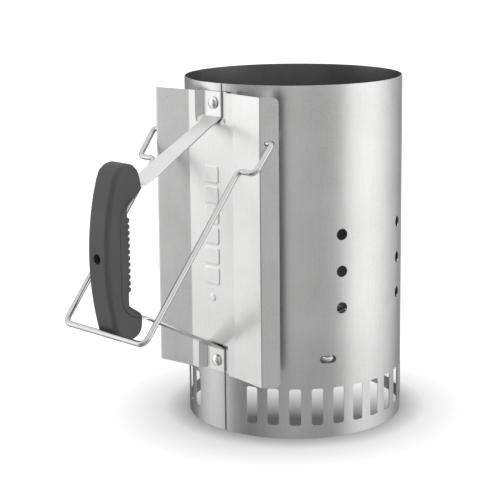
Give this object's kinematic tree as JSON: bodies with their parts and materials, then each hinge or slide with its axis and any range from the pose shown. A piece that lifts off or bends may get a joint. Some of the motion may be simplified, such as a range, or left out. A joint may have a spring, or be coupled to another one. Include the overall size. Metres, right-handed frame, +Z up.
{
  "type": "chimney charcoal starter",
  "caption": "Vented steel barrel with a wire cone grate, a folded heat shield, a strap handle with a plastic grip, and a swinging wire bail.",
  "frame": {"origin": "on the ground, at the centre of the whole object's footprint box", "axes": "+Z up along the barrel; -Y from the barrel towards the handle and grip; +X to the right for someone who faces the grip"},
  "size_m": [0.1906, 0.3233, 0.3],
  "materials": {
    "sheet_steel": "satin aluminised",
    "plated_wire": "bright zinc plated",
    "grip_plastic": "fine moulded texture"
  },
  "bodies": {
    "starter": {"barrel": "sheet_steel", "heat_shield": "sheet_steel", "handle_strap": "sheet_steel", "grate_hairpin_1": "plated_wire", "grate_hairpin_2": "plated_wire", "grate_hairpin_3": "plated_wire", "grate_ring_1": "plated_wire", "grate_ring_2": "plated_wire", "grate_ring_3": "plated_wire", "grate_ring_4": "plated_wire", "grate_ring_5": "plated_wire", "upper_rivet": "plated_wire", "lower_rivet": "plated_wire", "grip_screw": "plated_wire", "grip_cover": "grip_plastic", "grip_insert": "grip_plastic"},
    "bail": {"bail": "plated_wire"}
  },
  "joints": [
    {"name": "bail_hinge", "type": "hinge", "parent": "starter", "child": "bail", "pos_m": [0, -0.03612, 0.2564], "axis": [-1, 0, 0], "range_deg": [0, 122]}
  ]
}
